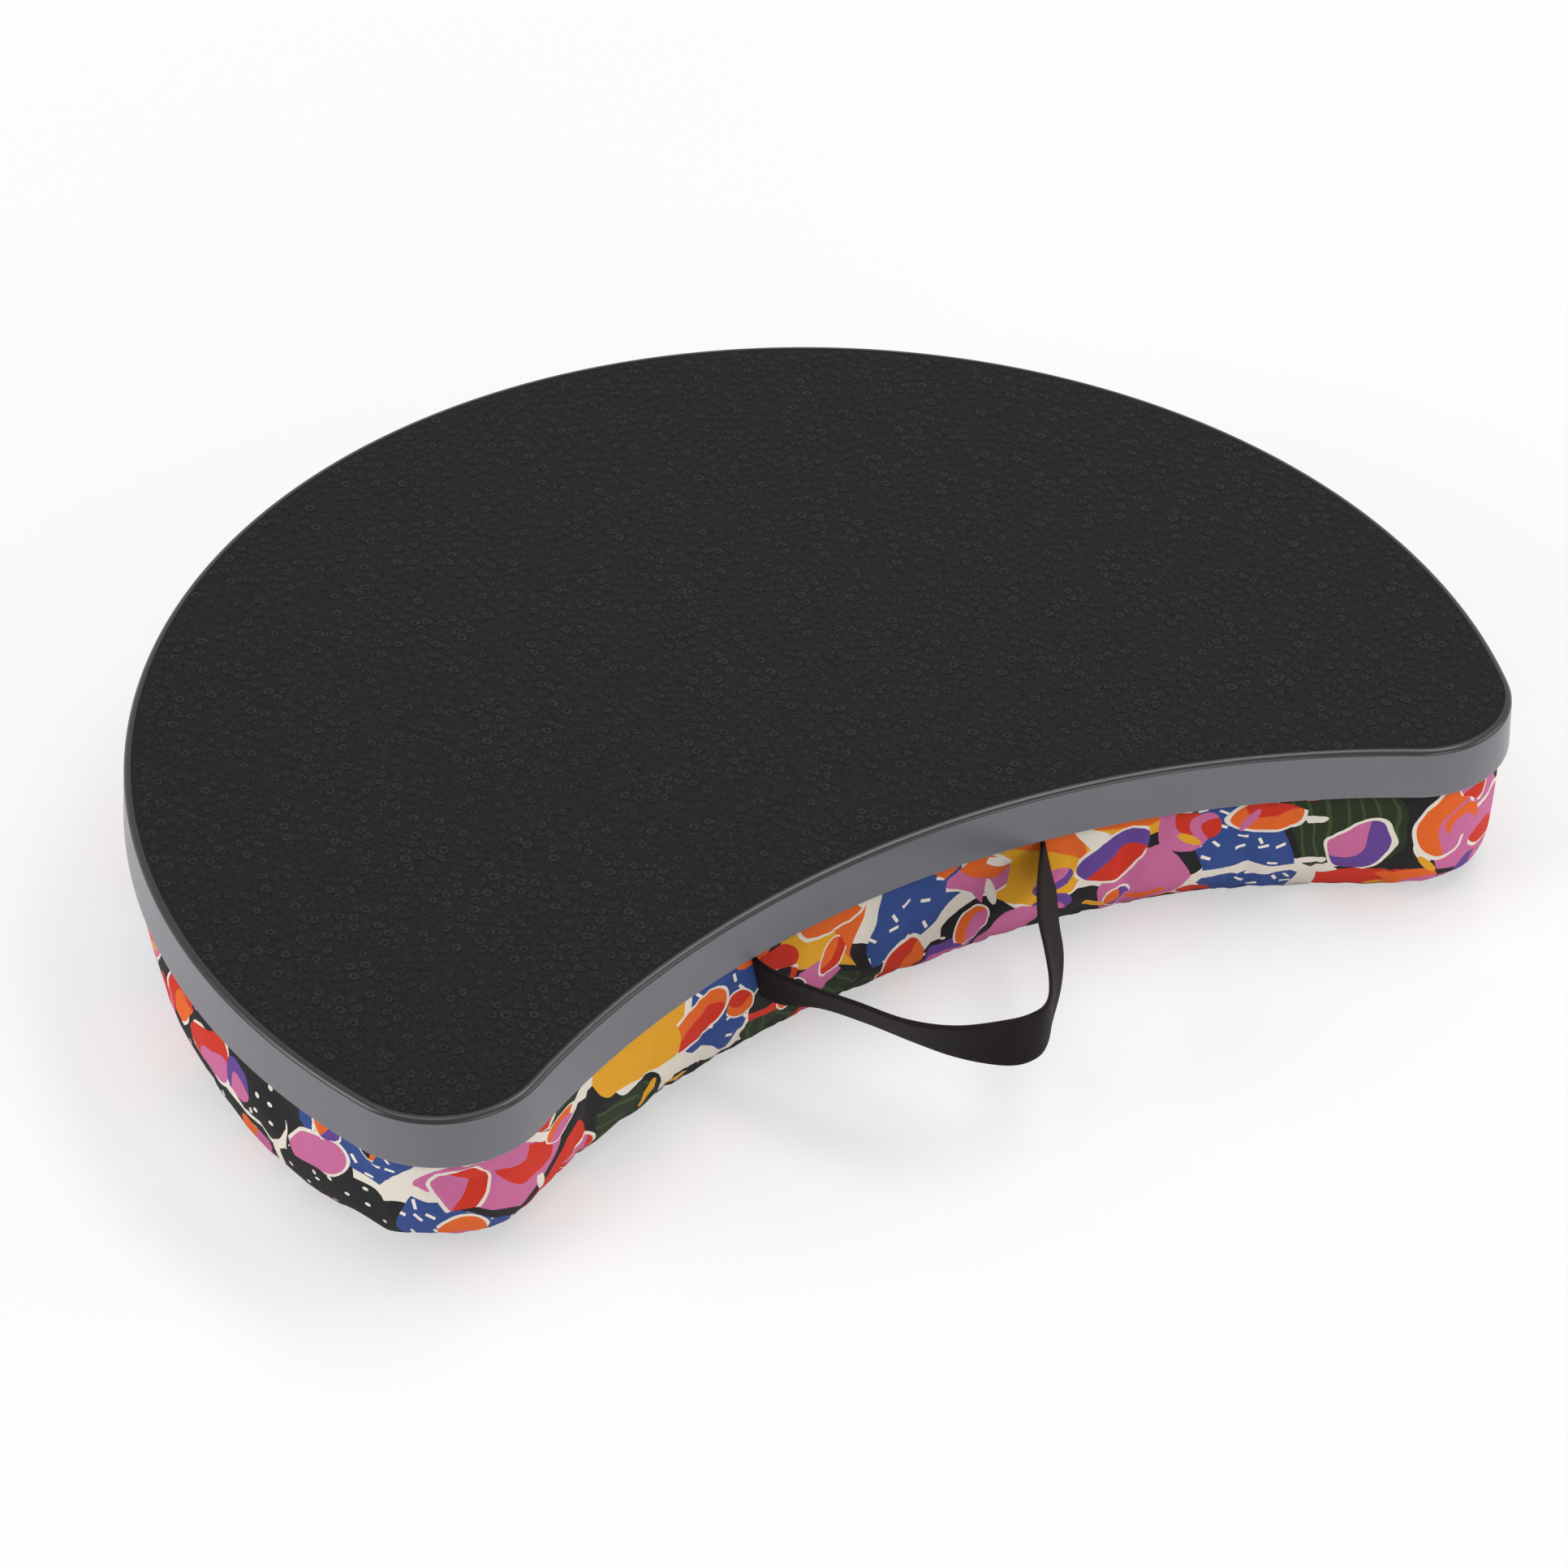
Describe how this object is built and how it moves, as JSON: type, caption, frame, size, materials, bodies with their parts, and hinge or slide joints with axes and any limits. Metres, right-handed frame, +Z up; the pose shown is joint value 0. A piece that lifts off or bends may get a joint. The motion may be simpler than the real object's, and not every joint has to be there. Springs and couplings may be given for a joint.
{
  "type": "lap tray with cushion",
  "caption": "Kidney-shaped lap tray: a rigid moulded deck with a textured top on a bead-filled cushion with a hollow front and a webbing carry loop.",
  "frame": {"origin": "on the flat underside of the cushion, where it stands, on the axis of the tray's round back", "axes": "+X along the tray's width, +Y towards the round back, away from the user's body, +Z up, out of the work surface"},
  "size_m": [0.5098, 0.3955, 0.074],
  "materials": {
    "deck_plastic": "satin",
    "grip_rubber": "matte",
    "hardboard": "matte",
    "screw_steel": "satin",
    "printed_fabric": "matte",
    "bottom_fabric": "matte",
    "staple_steel": "satin",
    "liner_fabric": "matte",
    "beads": "matte",
    "webbing": "matte"
  },
  "bodies": {
    "tray": {"deck_shell": "deck_plastic", "grip_sheet": "grip_rubber", "base_panel": "hardboard", "panel_screws": "screw_steel", "cover_boxing": "printed_fabric", "cover_bottom": "bottom_fabric", "cover_staples": "staple_steel", "bead_bag": "liner_fabric", "bead_bag_top": "liner_fabric", "bead_filling": "beads", "strap_root_left": "webbing", "strap_root_right": "webbing"},
    "strap": {"carry_loop": "webbing"}
  },
  "joints": [
    {"name": "strap_swing", "type": "hinge", "parent": "tray", "child": "strap", "pos_m": [0, -0.08594, 0.0415], "axis": [-1, 0, 0], "range_deg": [-30, 90]}
  ]
}
